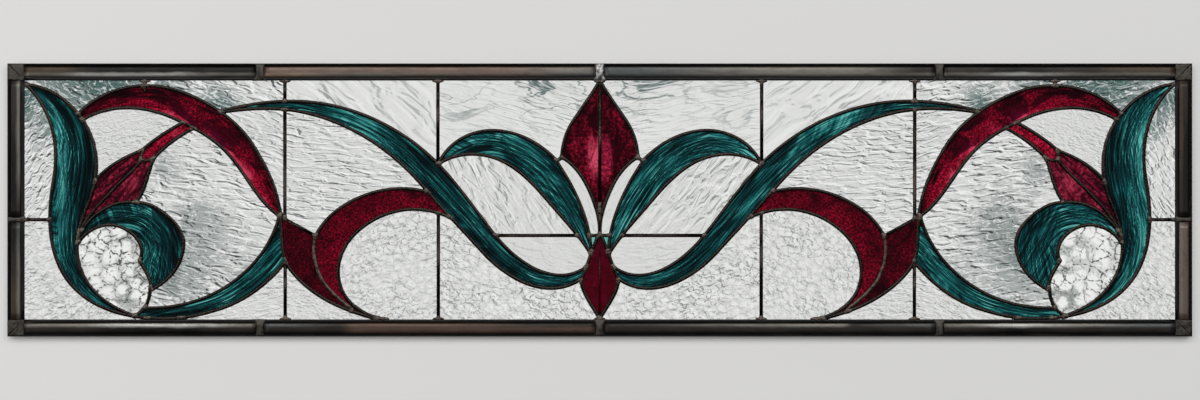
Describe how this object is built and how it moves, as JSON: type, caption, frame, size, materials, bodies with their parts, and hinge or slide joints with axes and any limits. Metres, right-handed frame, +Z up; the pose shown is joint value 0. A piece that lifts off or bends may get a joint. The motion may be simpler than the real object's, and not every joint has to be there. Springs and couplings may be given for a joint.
{
  "type": "stained glass window",
  "caption": "Wide leaded stained glass window panel with a mirrored scroll of leaves, buds and ribbon in teal, ruby and clear rippled glass, edged by a broad dark metal came.",
  "frame": {"origin": "middle of the sill edge: the flat underside of the bottom bar, at mid width and mid thickness", "axes": "+X along the panel to the right as seen from the front, +Y through the panel from the front to the back, +Z up"},
  "size_m": [1.102, 0.008, 0.254],
  "materials": {
    "inner_came": "dark patina over zinc came with tinned solder joints",
    "border_came": "satin dark bronze patina, worn along the edges",
    "clear_glass": "clear, rippled and hammered",
    "teal_glass": "streaky teal",
    "ruby_glass": "ruby, hammered"
  },
  "bodies": {
    "root": {"inner_came": "inner_came", "bottom_bar": "border_came", "top_bar": "border_came", "left_bar": "border_came", "right_bar": "border_came", "margin_upper_left": "clear_glass", "margin_upper_right": "clear_glass", "margin_lower_left": "clear_glass", "margin_lower_right": "clear_glass", "outer_leaf_left": "teal_glass", "outer_leaf_right": "teal_glass", "head_left": "clear_glass", "head_right": "clear_glass", "arch_side_left": "clear_glass", "arch_side_right": "clear_glass", "arch_left": "ruby_glass", "arch_right": "ruby_glass", "under_arch_left": "clear_glass", "under_arch_right": "clear_glass", "bud_stalk_left": "ruby_glass", "bud_stalk_right": "ruby_glass", "bud_left": "ruby_glass", "bud_right": "ruby_glass", "curl_left": "teal_glass", "curl_right": "teal_glass", "curl_eye_left": "clear_glass", "curl_eye_right": "clear_glass", "bay_left": "clear_glass", "bay_right": "clear_glass", "crescent_left": "teal_glass", "crescent_right": "teal_glass", "crescent_base_left": "clear_glass", "crescent_base_right": "clear_glass", "petal_left": "ruby_glass", "petal_right": "ruby_glass", "hook_left": "ruby_glass", "hook_right": "ruby_glass", "valley_left": "clear_glass", "valley_right": "clear_glass", "petal_base_left": "clear_glass", "petal_base_right": "clear_glass", "hook_bowl_left": "clear_glass", "hook_bowl_right": "clear_glass", "base_left": "clear_glass", "base_right": "clear_glass", "brow_left": "clear_glass", "brow_right": "clear_glass", "ribbon_left": "teal_glass", "ribbon_right": "teal_glass", "crown_left": "clear_glass", "crown_right": "clear_glass", "inner_leaf_left": "teal_glass", "inner_leaf_right": "teal_glass", "loop_left": "clear_glass", "loop_right": "clear_glass", "flower_gap_left": "clear_glass", "flower_gap_right": "clear_glass", "flower_left": "ruby_glass", "flower_right": "ruby_glass", "gem": "ruby_glass"}
  },
  "joints": []
}
